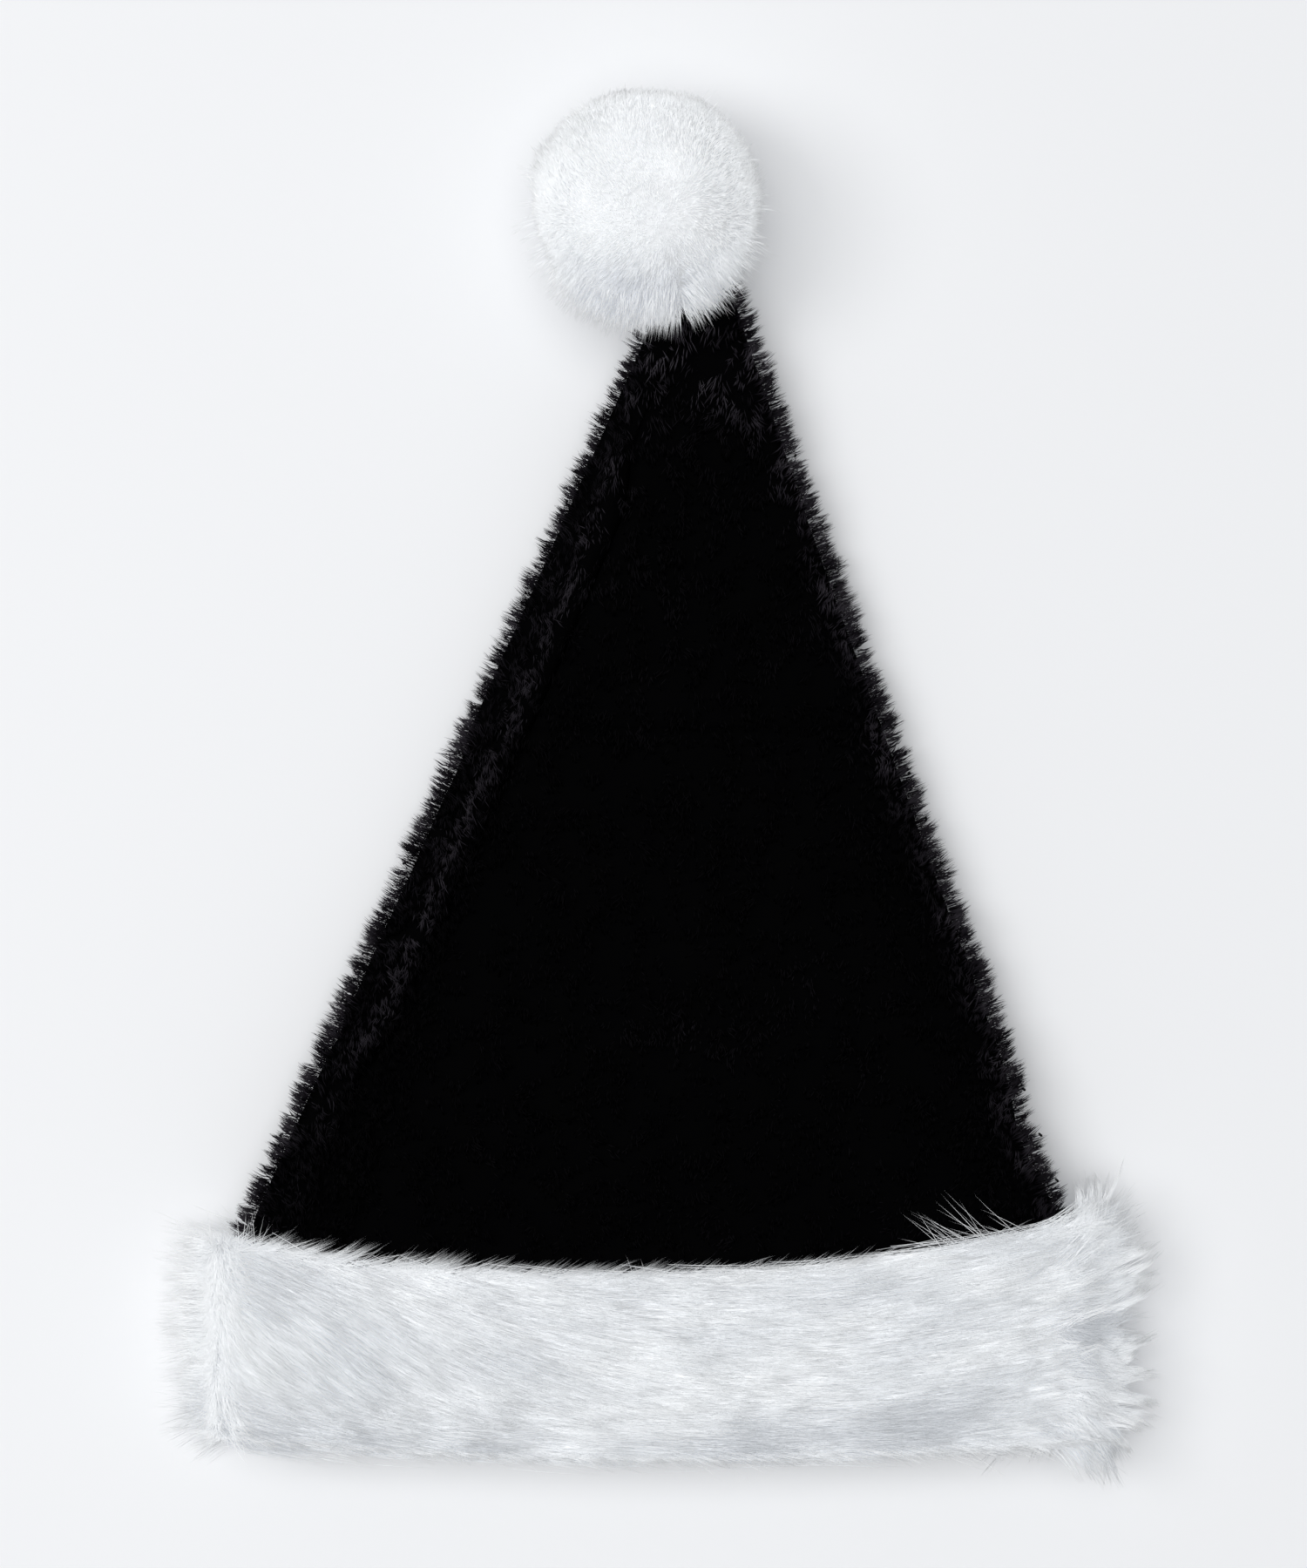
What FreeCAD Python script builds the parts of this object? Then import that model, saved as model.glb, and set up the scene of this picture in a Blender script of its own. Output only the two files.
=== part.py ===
import FreeCAD, Part
import math
import os

# A plush party hat with a fur brim and a pompom, lying flat on a table.
# X runs across the hat, Y from the brim to the tip, and Z up from the table.
# All values are millimetres and degrees. Pieces are built with Y = 0 at the lowest
# point of the brim's edge, and moved at the end so that the origin is on the table
# under the middle of the whole hat.

Vector = FreeCAD.Vector

# Brim: two fur layers lying on each other, folded at the left and at the right
BRIM_WIDTH = 300.0           # from fold to fold
BRIM_THICKNESS = 40.0        # both layers with their fur
BRIM_HEIGHT = 62.0           # on the middle line
BRIM_CORNER_RISE = 7.0       # how far both lower corners stand above the middle
BRIM_TOP_LEFT_RISE = 13.0    # how far the top left corner stands above the middle
BRIM_TOP_RIGHT_RISE = 20.0
BRIM_EDGE_ROUND = 5.0
FUR_WALL = 7.0               # fur and its backing, above and below
FUR_AT_FOLD = 12.0           # the same, at the two folds
FACING_WALL = 4.0            # inner layer of the brim
STRIP_GAP = 0.4              # between the two ends of the fur strip

# Hem: the edge of the crown, held between fur and facing
HEM_THICKNESS = 3.0
HEM_DEPTH = 12.0             # below the middle of the brim's top edge

# Crown: a flattened cone, in three parts with a fold line between them
CROWN_WALL = 6.0             # plush with its pile
CROWN_COLLAR = 2.0           # straight above the brim's highest corner
LOWER_LENGTH = 105.0
MIDDLE_LENGTH = 105.0
TIP_LENGTH = 76.0
FOLD_GAP = 1.0               # between the parts, at each fold line
FOLD_AXIS_LIFT = 1.0         # fold axis above the upper plush
LOWER_FOLD_THICKNESS = 22.0
UPPER_FOLD_THICKNESS = 20.0
SHOULDER_WIDTH = 44.5        # where the gathers of the tip begin
SHOULDER_CENTRE = 12.8       # the cone leans to the right
SHOULDER_THICKNESS = 20.0
SHOULDER_LIFT = 8.0          # the pompom holds the tip up from the table

# Neck: the gathered end of the tip, with its binding and the pompom's tie
NECK_CENTRE = 11.5
NECK_LENGTH = 5.0
NECK_END_WIDTH = 7.0
NECK_END_THICKNESS = 5.0
STUB_LENGTH = 4.0
BINDING_WALL = 1.0
BINDING_LENGTH = 3.0
TIE_DIAMETER = 1.6
TIE_LENGTH = 7.0             # from the neck to the middle of the knot
KNOT_RADIUS = 2.0
KNOT_HEIGHT = 26.0
KNOT_GAP = 0.4

# Pompom
POMPOM_RADIUS = 37.7
POMPOM_SINK = 3.9            # the knot's middle below the pompom's surface
POMPOM_BEARING = -28.7       # of the pompom from the knot, from +Y, right is positive
DENT_CLEARANCE = 3.0         # the dent's deepest point beyond the knot's middle
DENT_HALF_ANGLE = 78.0
STUFFING_RADIUS = 20.0
GATHER_RADIUS = 4.0          # of the ring of thread round the dent's deepest point
THREAD_RADIUS = 0.6

# Stitches
STITCH_RADIUS = 0.4
STITCH_BAR = 6.0             # length that shows
STITCH_PITCH = 15.0
STITCH_BITE = 1.0            # how deep a stitch ends below the layers that it joins
SEAM_STITCH = 8.0            # length across a side seam
STRIP_STITCH_PITCH = 8.0
STRIP_STITCH_INSET = 3.0     # from the fur's inner side
STRIP_STITCH_MARGIN = 6.0    # from the brim's edges
REACH = 20.0                 # how far a cutting shape runs past what it cuts

# Values that follow from the ones above
HALF_WIDTH = BRIM_WIDTH / 2
HEM_HALF_WIDTH = HALF_WIDTH - FUR_AT_FOLD
HEM_LOW = FUR_WALL
HEM_HIGH = BRIM_THICKNESS - FUR_WALL
HEM_START = BRIM_HEIGHT - HEM_DEPTH
MID_HEIGHT = BRIM_THICKNESS / 2
CROWN_START = BRIM_HEIGHT + max(BRIM_TOP_LEFT_RISE, BRIM_TOP_RIGHT_RISE) + CROWN_COLLAR
LOWER_FOLD = CROWN_START + LOWER_LENGTH
UPPER_FOLD = LOWER_FOLD + MIDDLE_LENGTH
SHOULDER = UPPER_FOLD + TIP_LENGTH
NECK_END = SHOULDER + NECK_LENGTH
STUB_END = NECK_END + STUB_LENGTH
KNOT = Vector(NECK_CENTRE, STUB_END + TIE_LENGTH, KNOT_HEIGHT)
TIE_RUN = POMPOM_RADIUS - POMPOM_SINK
TIE_RISE = POMPOM_RADIUS - KNOT_HEIGHT
TIE_FLAT_RUN = math.sqrt(TIE_RUN ** 2 - TIE_RISE ** 2)
POMPOM_CENTRE = KNOT + Vector(
    TIE_FLAT_RUN * math.sin(math.radians(POMPOM_BEARING)),
    TIE_FLAT_RUN * math.cos(math.radians(POMPOM_BEARING)),
    TIE_RISE,
)
TOTAL_LENGTH = POMPOM_CENTRE.y + POMPOM_RADIUS
TO_ORIGIN = Vector(0, -TOTAL_LENGTH / 2, 0)


# Outlines

def line(start, end):
    return Part.LineSegment(start, end).toShape()


def arc(start, middle, end):
    return Part.Arc(start, middle, end).toShape()


def section_edges(y, left, right, low, high, inset, side):
    """Half of a flattened round outline: from the left fold over the top (side 1) or
    under the bottom (side -1) to the right fold."""
    middle = (low + high) / 2
    round_centre = (high - low) / 2
    radius = round_centre - inset
    slant = radius * math.sqrt(0.5)
    left_centre = left + round_centre
    right_centre = right - round_centre

    def point(x, height):
        return Vector(x, y, middle + side * height)

    return [
        arc(
            point(left_centre - radius, 0),
            point(left_centre - slant, slant),
            point(left_centre, radius),
        ),
        line(point(left_centre, radius), point(right_centre, radius)),
        arc(
            point(right_centre, radius),
            point(right_centre + slant, slant),
            point(right_centre + radius, 0),
        ),
    ]


def flat_tube(half_width, low, high, start, end):
    """A solid bar along Y with a flattened round section, centred on X = 0."""
    middle = (low + high) / 2
    flat_half = half_width - (high - low) / 2
    corners = [
        Vector(x, start, z)
        for x, z in ((-flat_half, high), (flat_half, high), (flat_half, low), (-flat_half, low))
    ]
    edges = [
        line(corners[0], corners[1]),
        arc(corners[1], Vector(half_width, start, middle), corners[2]),
        line(corners[2], corners[3]),
        arc(corners[3], Vector(-half_width, start, middle), corners[0]),
    ]
    return Part.Face(Part.Wire(edges)).extrude(Vector(0, end - start, 0))


def half_ring(section, wall, side):
    """Half of a tube's section: outer line, inner line and the two ends."""
    y, left, right, low, high = section
    middle = (low + high) / 2
    outer = section_edges(y, left, right, low, high, 0, side)
    inner = section_edges(y, left, right, low, high, wall, side)
    right_end = line(Vector(right, y, middle), Vector(right - wall, y, middle))
    left_end = line(Vector(left + wall, y, middle), Vector(left, y, middle))
    return Part.Wire(outer + [right_end] + inner[::-1] + [left_end])


def half_disc(section, side):
    """Half of a solid section."""
    y, left, right, low, high = section
    middle = (low + high) / 2
    closing = line(Vector(right, y, middle), Vector(left, y, middle))
    return Part.Wire(section_edges(y, left, right, low, high, 0, side) + [closing])


def loft(wires):
    return Part.makeLoft(wires, True, True)


# Brim

def edge_height(x, left_rise, right_rise):
    """Height of a brim edge at x, on the circle through its two corners and its middle."""
    left_corner = Vector(-HALF_WIDTH, left_rise, 0)
    right_corner = Vector(HALF_WIDTH, right_rise, 0)
    circle = arc(left_corner, Vector(0, 0, 0), right_corner).Curve
    return circle.Center.y - math.sqrt(circle.Radius ** 2 - (x - circle.Center.x) ** 2)


def brim_outline():
    """The brim seen from above, carried past both folds, as a block of the full height."""
    far = HALF_WIDTH + REACH

    def at(x, base, left_rise, right_rise):
        return Vector(x, base + edge_height(x, left_rise, right_rise), -REACH)

    bottom = [at(x, 0, BRIM_CORNER_RISE, BRIM_CORNER_RISE) for x in (-far, 0, far)]
    top = [
        at(x, BRIM_HEIGHT, BRIM_TOP_LEFT_RISE, BRIM_TOP_RIGHT_RISE) for x in (far, 0, -far)
    ]
    wire = Part.Wire([arc(*bottom), line(bottom[2], top[0]), arc(*top), line(top[2], bottom[0])])
    return Part.Face(wire).extrude(Vector(0, 0, BRIM_THICKNESS + 2 * REACH))


def hem_bar(inset, start, end):
    """The space inside the fur, made smaller all round by inset."""
    return flat_tube(HEM_HALF_WIDTH - inset, HEM_LOW + inset, HEM_HIGH - inset, start, end)


def brim_fur():
    bar = flat_tube(HALF_WIDTH, 0, BRIM_THICKNESS, -REACH, CROWN_START + REACH)
    bar = bar.common(brim_outline())
    mouths = [e for e in bar.Edges if abs(e.tangentAt(e.FirstParameter).y) < 0.5]
    band = bar.makeFillet(BRIM_EDGE_ROUND, mouths)
    band = band.cut(hem_bar(0, -REACH, CROWN_START + REACH))
    slit = Part.makeBox(
        REACH + FUR_AT_FOLD + HEM_THICKNESS,
        CROWN_START + 2 * REACH,
        STRIP_GAP,
        Vector(-HALF_WIDTH - REACH, -REACH, MID_HEIGHT - STRIP_GAP / 2),
    )
    return band.cut(slit)


def brim_facing():
    band = hem_bar(0, -REACH, CROWN_START + REACH).common(brim_outline())
    band = band.cut(hem_bar(HEM_THICKNESS + FACING_WALL, -REACH, CROWN_START + REACH))
    slot = hem_bar(0, HEM_START, CROWN_START + REACH)
    slot = slot.cut(hem_bar(HEM_THICKNESS, HEM_START, CROWN_START + REACH))
    return band.cut(slot)


# Crown

def between(y, stations):
    """The section at y, straight between the two stations beside it."""
    for first, second in zip(stations, stations[1:]):
        if y <= second[0]:
            break
    share = (y - first[0]) / (second[0] - first[0])
    return tuple(a + share * (b - a) for a, b in zip(first, second))


def crown_stations():
    """Sections of the cone: y, left, right, low, high. Its two sides are straight."""
    shoulder_left = SHOULDER_CENTRE - SHOULDER_WIDTH / 2
    shoulder_right = SHOULDER_CENTRE + SHOULDER_WIDTH / 2
    ends = [(CROWN_START, -HEM_HALF_WIDTH, HEM_HALF_WIDTH), (SHOULDER, shoulder_left, shoulder_right)]
    heights = [
        (CROWN_START, HEM_LOW, HEM_HIGH),
        (LOWER_FOLD, 0, LOWER_FOLD_THICKNESS),
        (UPPER_FOLD, 0, UPPER_FOLD_THICKNESS),
        (SHOULDER, SHOULDER_LIFT, SHOULDER_LIFT + SHOULDER_THICKNESS),
    ]
    return [between(y, ends) + (low, high) for y, low, high in heights]


STATIONS = crown_stations()


def crown_part(start, end, side):
    """One panel between two heights, upper (side 1) or under (side -1)."""
    wires = [half_ring(between(y, STATIONS), CROWN_WALL, side) for y in (start, end)]
    return loft(wires)


def crown_lower(side):
    """The lowest part of a panel, with the hem that goes down between fur and facing."""
    hem_section = (HEM_START,) + STATIONS[0][1:]
    collar = Part.Face(half_ring(hem_section, CROWN_WALL, side))
    collar = collar.extrude(Vector(0, CROWN_START - HEM_START, 0))
    inside = hem_bar(HEM_THICKNESS, -REACH, CROWN_START + REACH).common(brim_outline())
    panel = crown_part(CROWN_START, LOWER_FOLD - FOLD_GAP / 2, side)
    return collar.cut(inside).fuse(panel).removeSplitter()


def crown_middle(side):
    return crown_part(LOWER_FOLD + FOLD_GAP / 2, UPPER_FOLD - FOLD_GAP / 2, side)


def neck_section(y, grow):
    """The narrow end of the tip, made larger all round by grow."""
    half_width = NECK_END_WIDTH / 2 + grow
    half_thickness = NECK_END_THICKNESS / 2 + grow
    return (
        y,
        NECK_CENTRE - half_width,
        NECK_CENTRE + half_width,
        KNOT_HEIGHT - half_thickness,
        KNOT_HEIGHT + half_thickness,
    )


def crown_tip(side):
    """The last part of a panel, gathered to a narrow stub that the pompom is tied to."""
    panel = crown_part(UPPER_FOLD + FOLD_GAP / 2, SHOULDER, side)
    gathers = loft(
        [half_disc(STATIONS[-1], side), half_disc(neck_section(NECK_END, 0), side)]
    )
    stub = Part.Face(half_disc(neck_section(NECK_END, 0), side))
    stub = stub.extrude(Vector(0, STUB_LENGTH, 0))
    return panel.fuse([gathers, stub]).removeSplitter()


# Pompom, made with the dent towards +Z and turned to face the knot

def placed(shape):
    turn = FreeCAD.Rotation(Vector(0, 0, 1), KNOT - POMPOM_CENTRE)
    shape.Placement = FreeCAD.Placement(POMPOM_CENTRE, turn)
    return shape


def dent_bottom():
    return TIE_RUN - DENT_CLEARANCE


def gather_ring():
    height = dent_bottom() + GATHER_RADIUS / math.tan(math.radians(DENT_HALF_ANGLE))
    return Part.makeTorus(GATHER_RADIUS, THREAD_RADIUS, Vector(0, 0, height))


def pompom_cover():
    ball = Part.makeSphere(POMPOM_RADIUS)
    opening = POMPOM_SINK + DENT_CLEARANCE + 1
    mouth = opening * math.tan(math.radians(DENT_HALF_ANGLE))
    dent = Part.makeCone(0, mouth, opening, Vector(0, 0, dent_bottom()))
    hollow = Part.makeSphere(STUFFING_RADIUS)
    return placed(ball.cut(dent).cut(hollow).cut(gather_ring()))


# Threads

def rod(start, end, radius):
    run = end - start
    return Part.makeCylinder(radius, run.Length, start, run)


def row(start, end, pitch):
    """Evenly spaced places between start and end, as many as the pitch allows."""
    count = int((end - start) / pitch) + 1
    spare = (end - start - (count - 1) * pitch) / 2
    return [start + spare + i * pitch for i in range(count)]


def brim_seam_stitches():
    """Running stitches on both inner sides of the facing, through facing and hem."""
    inner_half = HEM_HALF_WIDTH - (HEM_HIGH - HEM_LOW) / 2 - STITCH_BAR
    depth = FACING_WALL + HEM_THICKNESS - STITCH_BITE
    y = HEM_START + HEM_DEPTH / 2
    stitches = []
    for side in (1, -1):
        surface = MID_HEIGHT + side * (MID_HEIGHT - FUR_WALL - HEM_THICKNESS - FACING_WALL)
        for x in row(-inner_half, inner_half, STITCH_PITCH):
            ends = [Vector(x + s * STITCH_BAR / 2, y, surface) for s in (-1, 1)]
            legs = [rod(end, end + Vector(0, 0, side * depth), STITCH_RADIUS) for end in ends]
            stitches.append(rod(*ends, STITCH_RADIUS).fuse(legs).removeSplitter())
    return Part.makeCompound(stitches)


def upright(x, y, z, length):
    half = Vector(0, 0, length / 2)
    return rod(Vector(x, y, z) - half, Vector(x, y, z) + half, STITCH_RADIUS)


def strip_stitches():
    """Ladder stitches across the joint of the fur strip, at the left fold."""
    x = -HEM_HALF_WIDTH - STRIP_STITCH_INSET
    start = edge_height(x, BRIM_CORNER_RISE, BRIM_CORNER_RISE) + STRIP_STITCH_MARGIN
    end = BRIM_HEIGHT + edge_height(x, BRIM_TOP_LEFT_RISE, BRIM_TOP_RIGHT_RISE) - STRIP_STITCH_MARGIN
    places = row(start, end, STRIP_STITCH_PITCH)
    return Part.makeCompound([upright(x, y, MID_HEIGHT, SEAM_STITCH) for y in places])


def side_seam_stitches(start, end):
    """Stitches across both side seams of the crown, between two fold lines."""
    stitches = []
    for y in row(start + STITCH_PITCH / 2, end - STITCH_PITCH / 2, STITCH_PITCH):
        y, left, right, low, high = between(y, STATIONS)
        for x in (left + CROWN_WALL / 2, right - CROWN_WALL / 2):
            stitches.append(upright(x, y, (low + high) / 2, SEAM_STITCH))
    return Part.makeCompound(stitches)


def neck_binding():
    """Thread wound round the stub, as one close band."""
    start = NECK_END + (STUB_LENGTH - BINDING_LENGTH) / 2
    halves = [
        Part.Face(half_ring(neck_section(start, BINDING_WALL), BINDING_WALL, side))
        for side in (1, -1)
    ]
    bands = [half.extrude(Vector(0, BINDING_LENGTH, 0)) for half in halves]
    return bands[0].fuse(bands[1]).removeSplitter()


def tie_cord():
    start = Vector(NECK_CENTRE, STUB_END, KNOT_HEIGHT)
    return rod(start, KNOT - Vector(0, KNOT_RADIUS + KNOT_GAP, 0), TIE_DIAMETER / 2)


# Every sub-part, by name
PIECES = {
    "brim_fur": brim_fur(),
    "brim_facing": brim_facing(),
    "brim_seam_thread": brim_seam_stitches(),
    "brim_joining_thread": strip_stitches(),
    "crown_front_lower": crown_lower(1),
    "crown_back_lower": crown_lower(-1),
    "side_seam_thread_lower": side_seam_stitches(CROWN_START, LOWER_FOLD),
    "crown_front_middle": crown_middle(1),
    "crown_back_middle": crown_middle(-1),
    "side_seam_thread_middle": side_seam_stitches(LOWER_FOLD, UPPER_FOLD),
    "crown_front_tip": crown_tip(1),
    "crown_back_tip": crown_tip(-1),
    "side_seam_thread_tip": side_seam_stitches(UPPER_FOLD, SHOULDER),
    "neck_binding_thread": neck_binding(),
    "pompom_tie": tie_cord(),
    "pompom_knot": Part.makeSphere(KNOT_RADIUS, KNOT),
    "pompom_cover": pompom_cover(),
    "pompom_stuffing": placed(Part.makeSphere(STUFFING_RADIUS)),
    "pompom_gather_thread": placed(gather_ring()),
}

os.makedirs("parts", exist_ok=True)
for name, shape in PIECES.items():
    moved = shape.translated(TO_ORIGIN)
    assert moved.isValid(), name
    moved.exportStep(f"parts/{name}.step")
    box = moved.BoundBox
    print(
        f"{name:26s} {len(moved.Solids):3d} solids {moved.Volume:12.1f} mm3 "
        f"x {box.XMin:7.1f} {box.XMax:7.1f}  y {box.YMin:7.1f} {box.YMax:7.1f}  "
        f"z {box.ZMin:6.1f} {box.ZMax:6.1f}"
    )
for name, place in (
    ("lower fold", Vector(0, LOWER_FOLD, LOWER_FOLD_THICKNESS + FOLD_AXIS_LIFT)),
    ("tip fold", Vector(0, UPPER_FOLD, UPPER_FOLD_THICKNESS + FOLD_AXIS_LIFT)),
    ("knot", KNOT),
    ("pompom centre", POMPOM_CENTRE),
    ("mouth", Vector(0, 0, MID_HEIGHT)),
):
    print(name, [round(value, 3) for value in place + TO_ORIGIN])
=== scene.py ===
# %% [markdown]
# # A plush party hat
# The hat is a black plush cone with a brim of long white fur and a fur pompom. It lies
# flat on a pale table. The imported model gives the frame: the sizes and places below
# start from its nodes, and the brim's and the pompom's pieces ride on its bodies.

# %% Load the frame
import math

import bmesh
import bpy
import numpy as np
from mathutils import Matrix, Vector, noise


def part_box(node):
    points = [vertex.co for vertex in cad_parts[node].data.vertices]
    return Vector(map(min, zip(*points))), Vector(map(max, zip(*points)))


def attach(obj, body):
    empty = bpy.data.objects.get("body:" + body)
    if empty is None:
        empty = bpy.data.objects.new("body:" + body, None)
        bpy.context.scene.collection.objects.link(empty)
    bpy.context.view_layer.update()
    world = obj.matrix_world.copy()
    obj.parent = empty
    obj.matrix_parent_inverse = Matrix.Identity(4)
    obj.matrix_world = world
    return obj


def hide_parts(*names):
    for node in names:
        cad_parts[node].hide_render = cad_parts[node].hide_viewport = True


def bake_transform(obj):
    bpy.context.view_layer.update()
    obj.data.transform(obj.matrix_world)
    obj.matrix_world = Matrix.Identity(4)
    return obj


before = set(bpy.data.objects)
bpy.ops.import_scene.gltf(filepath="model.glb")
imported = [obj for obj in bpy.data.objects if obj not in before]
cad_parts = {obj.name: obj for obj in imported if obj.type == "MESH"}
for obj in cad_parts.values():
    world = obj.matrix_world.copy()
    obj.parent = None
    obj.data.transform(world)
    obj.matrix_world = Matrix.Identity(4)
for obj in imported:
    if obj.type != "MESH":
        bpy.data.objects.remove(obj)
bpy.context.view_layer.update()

MM = 0.001
rng = np.random.default_rng(20)
brim_low, brim_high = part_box("brim_fur")
hem_low, hem_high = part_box("brim_facing")
lower_low, lower_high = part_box("crown_front_lower")
middle_low, middle_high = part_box("crown_front_middle")
tip_low, tip_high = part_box("crown_front_tip")
ball_low, ball_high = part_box("pompom_cover")
knot_low, knot_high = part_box("pompom_knot")

# %% [markdown]
# ## The flattened outline
# A hat that lies flat is round only at its two folds. Cut across, brim and crown are
# both a long oval with straight sides: a stadium. One function walks round it, so that
# the cloth, the pile and the fur all follow the same line.

# %% Walk round a flattened section
def stadium(turn, left, right, low, high):
    """Points, outward normals and walking direction. turn is 0 at the left fold, 0.5 at
    the right fold, and goes over the top between them."""
    turn, left, right, low, high = np.broadcast_arrays(turn, left, right, low, high)
    radius = (high - low) / 2
    straight = right - left - 2 * radius
    bend = math.pi * radius
    way = (turn % 1) * 2 * (straight + bend)
    ends = np.stack([bend / 2, bend / 2 + straight, bend * 1.5 + straight,
                     bend * 1.5 + 2 * straight])
    leg = (way >= ends).sum(0)
    angle = np.select(
        [leg == 0, leg == 1, leg == 2, leg == 3],
        [math.pi - way / radius, np.full_like(way, math.pi / 2),
         math.pi / 2 - (way - ends[1]) / radius, np.full_like(way, -math.pi / 2)],
        -math.pi / 2 - (way - ends[3]) / radius,
    )
    centre = np.select(
        [leg == 0, leg == 1, leg == 2, leg == 3],
        [left + radius, left + radius + way - ends[0], right - radius,
         right - radius - (way - ends[2])],
        left + radius,
    )
    x = centre + radius * np.cos(angle)
    z = (low + high) / 2 + radius * np.sin(angle)
    zero = np.zeros_like(x)
    normal = np.stack([np.cos(angle), zero, np.sin(angle)], -1)
    walk = np.stack([np.sin(angle), zero, -np.cos(angle)], -1)
    return x, z, normal, walk


def girth(left, right, low, high):
    """Length of the whole outline."""
    return 2 * (right - left - (high - low)) + math.pi * (high - low)


def smoothstep(value, start, end):
    share = np.clip((value - start) / (end - start), 0, 1)
    return share * share * (3 - 2 * share)


def hump(value, middle, width):
    """A soft bump, 1 high, at middle."""
    return np.exp(-(((value - middle) / width) ** 2))


# %% Smooth random fields
def ripple(points, size, seed):
    """A smooth random value near each point, from -1 to 1. size is the ripple's length."""
    shift = Vector((seed * 7.1, seed * 3.7, seed * 1.3))
    found = [noise.noise(Vector(p) / size + shift) for p in points]
    return np.array(found)


# %% [markdown]
# ## The strand
# Fur and pile are real strands here, not a texture, because the outline of the hat is
# all hair. One strand is a cone with three sides, cut by one or two planes so that it can
# bend. An Array modifier repeats it, and each copy is then combed along its own curve.

# %% One strand, repeated
RINGS = (0.35, 0.72)
ONE_RING = (0.5,)
FLOOR_GAP = 0.3 * MM
WIDEST = brim_high.x + 18.6 * MM


def strand_template(rings):
    """Points of one upright strand of height 1, and its mesh."""
    bm = bmesh.new()
    bmesh.ops.create_cone(
        bm, cap_ends=True, segments=3, radius1=1, radius2=0, depth=1
    )
    bmesh.ops.remove_doubles(bm, verts=bm.verts, dist=1e-5)
    bmesh.ops.translate(bm, verts=bm.verts, vec=(0, 0, 0.5))
    for height in rings:
        bmesh.ops.bisect_plane(
            bm, geom=bm.verts[:] + bm.edges[:] + bm.faces[:], plane_co=(0, 0, height),
            plane_no=(0, 0, 1),
        )
    bmesh.ops.triangulate(bm, faces=bm.faces)
    bmesh.ops.recalc_face_normals(bm, faces=bm.faces)
    mesh = bpy.data.meshes.new("strand")
    bm.to_mesh(mesh)
    bm.free()
    return mesh


def many_strands(name, count, rings):
    """An object with count copies of the strand, all at the origin."""
    template = strand_template(rings)
    piece = bpy.data.objects.new(name, template)
    bpy.context.collection.objects.link(piece)
    repeat = piece.modifiers.new("repeat", "ARRAY")
    repeat.use_relative_offset = False
    repeat.count = count
    seen = piece.evaluated_get(bpy.context.evaluated_depsgraph_get())
    mesh = bpy.data.meshes.new_from_object(seen)
    piece.modifiers.clear()
    piece.data = mesh
    mesh.name = name
    points = np.empty(len(template.vertices) * 3)
    template.vertices.foreach_get("co", points)
    bpy.data.meshes.remove(template)
    return piece, points.reshape(-1, 3)


def unit(vectors):
    return vectors / np.maximum(np.linalg.norm(vectors, axis=-1, keepdims=True), 1e-9)


def comb(name, root, bend, tip, up, width, shade, rings=RINGS, blunt=0.75):
    """Lays one strand along each curve from root past bend to tip. up is the surface's
    normal, width the strand's thickness at its root and shade the strand's value of random
    tone, painted shade and painted highlights."""
    piece, shape = many_strands(name, len(root), rings)
    along = shape[:, 2][None, :, None]
    run = unit(tip - root)
    side = unit(np.cross(run, up))
    above = np.cross(side, run)
    path = (1 - along) ** 2 * root[:, None] + 2 * along * (1 - along) * bend[:, None]
    path = path + along ** 2 * tip[:, None]
    reach = np.maximum(np.hypot(shape[:, 0], shape[:, 1]), 1e-9)
    fullness = (1 - shape[:, 2]) ** blunt * (0.4 + 0.6 * smoothstep(shape[:, 2], 0, 0.3))
    taper = np.where(reach > 1e-6, fullness, 0)[None, :, None]
    around = shape[:, :2] / reach[:, None]
    thick = width[:, None, None] / 2 * taper
    path = path + thick * around[None, :, :1] * side[:, None]
    path = path + thick * around[None, :, 1:] * above[:, None]
    path[..., 2] = np.maximum(path[..., 2], FLOOR_GAP)
    path[..., 0] = np.clip(path[..., 0], -WIDEST, WIDEST)
    mesh = piece.data
    mesh.vertices.foreach_set("co", path.ravel())
    layer = mesh.attributes.new("along", "FLOAT", "POINT")
    layer.data.foreach_set("value", np.broadcast_to(along[0, :, 0], path.shape[:2]).ravel())
    layer = mesh.attributes.new("shade", "FLOAT", "POINT")
    layer.data.foreach_set("value", np.repeat(shade, len(shape)))
    mesh.polygons.foreach_set("use_smooth", np.ones(len(mesh.polygons), bool))
    mesh.update()
    print(f"{name}: {len(root)} strands, {len(mesh.polygons)} faces")
    return piece


# %% Locks of strands
def locks(root, bend, tip, up, shade, each, spread, gather, width, fray=0.05, ragged=0.2):
    """Turns the curve of each lock into several strands. spread is the lock's radius at
    its root, gather the share of it that is lost at the tip, fray how far the tips stray
    for their length, and ragged how much shorter some are."""
    root, bend, tip, up, shade = (np.repeat(a, each, 0) for a in (root, bend, tip, up, shade))
    count = len(root)
    offset = rng.normal(0, 1, (count, 3)) * spread
    offset -= (offset * up).sum(1, keepdims=True) * up
    length = np.linalg.norm(tip - root, axis=1, keepdims=True)
    end = tip + offset * (1 - gather) + rng.normal(0, fray, (count, 3)) * length
    middle = bend + offset * (1 - gather / 2)
    kept = 1 - ragged * rng.random((count, 1))
    start = root + offset
    return {
        "root": start, "bend": start + (middle - start) * kept,
        "tip": start + (end - start) * kept, "up": up,
        "shade": np.clip(shade + rng.normal(0, 0.05, count), 0, 1),
        "width": width * (0.7 + 0.6 * rng.random(count)),
    }


def joined(*sets):
    return {key: np.concatenate([one[key] for one in sets]) for key in sets[0]}


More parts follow.
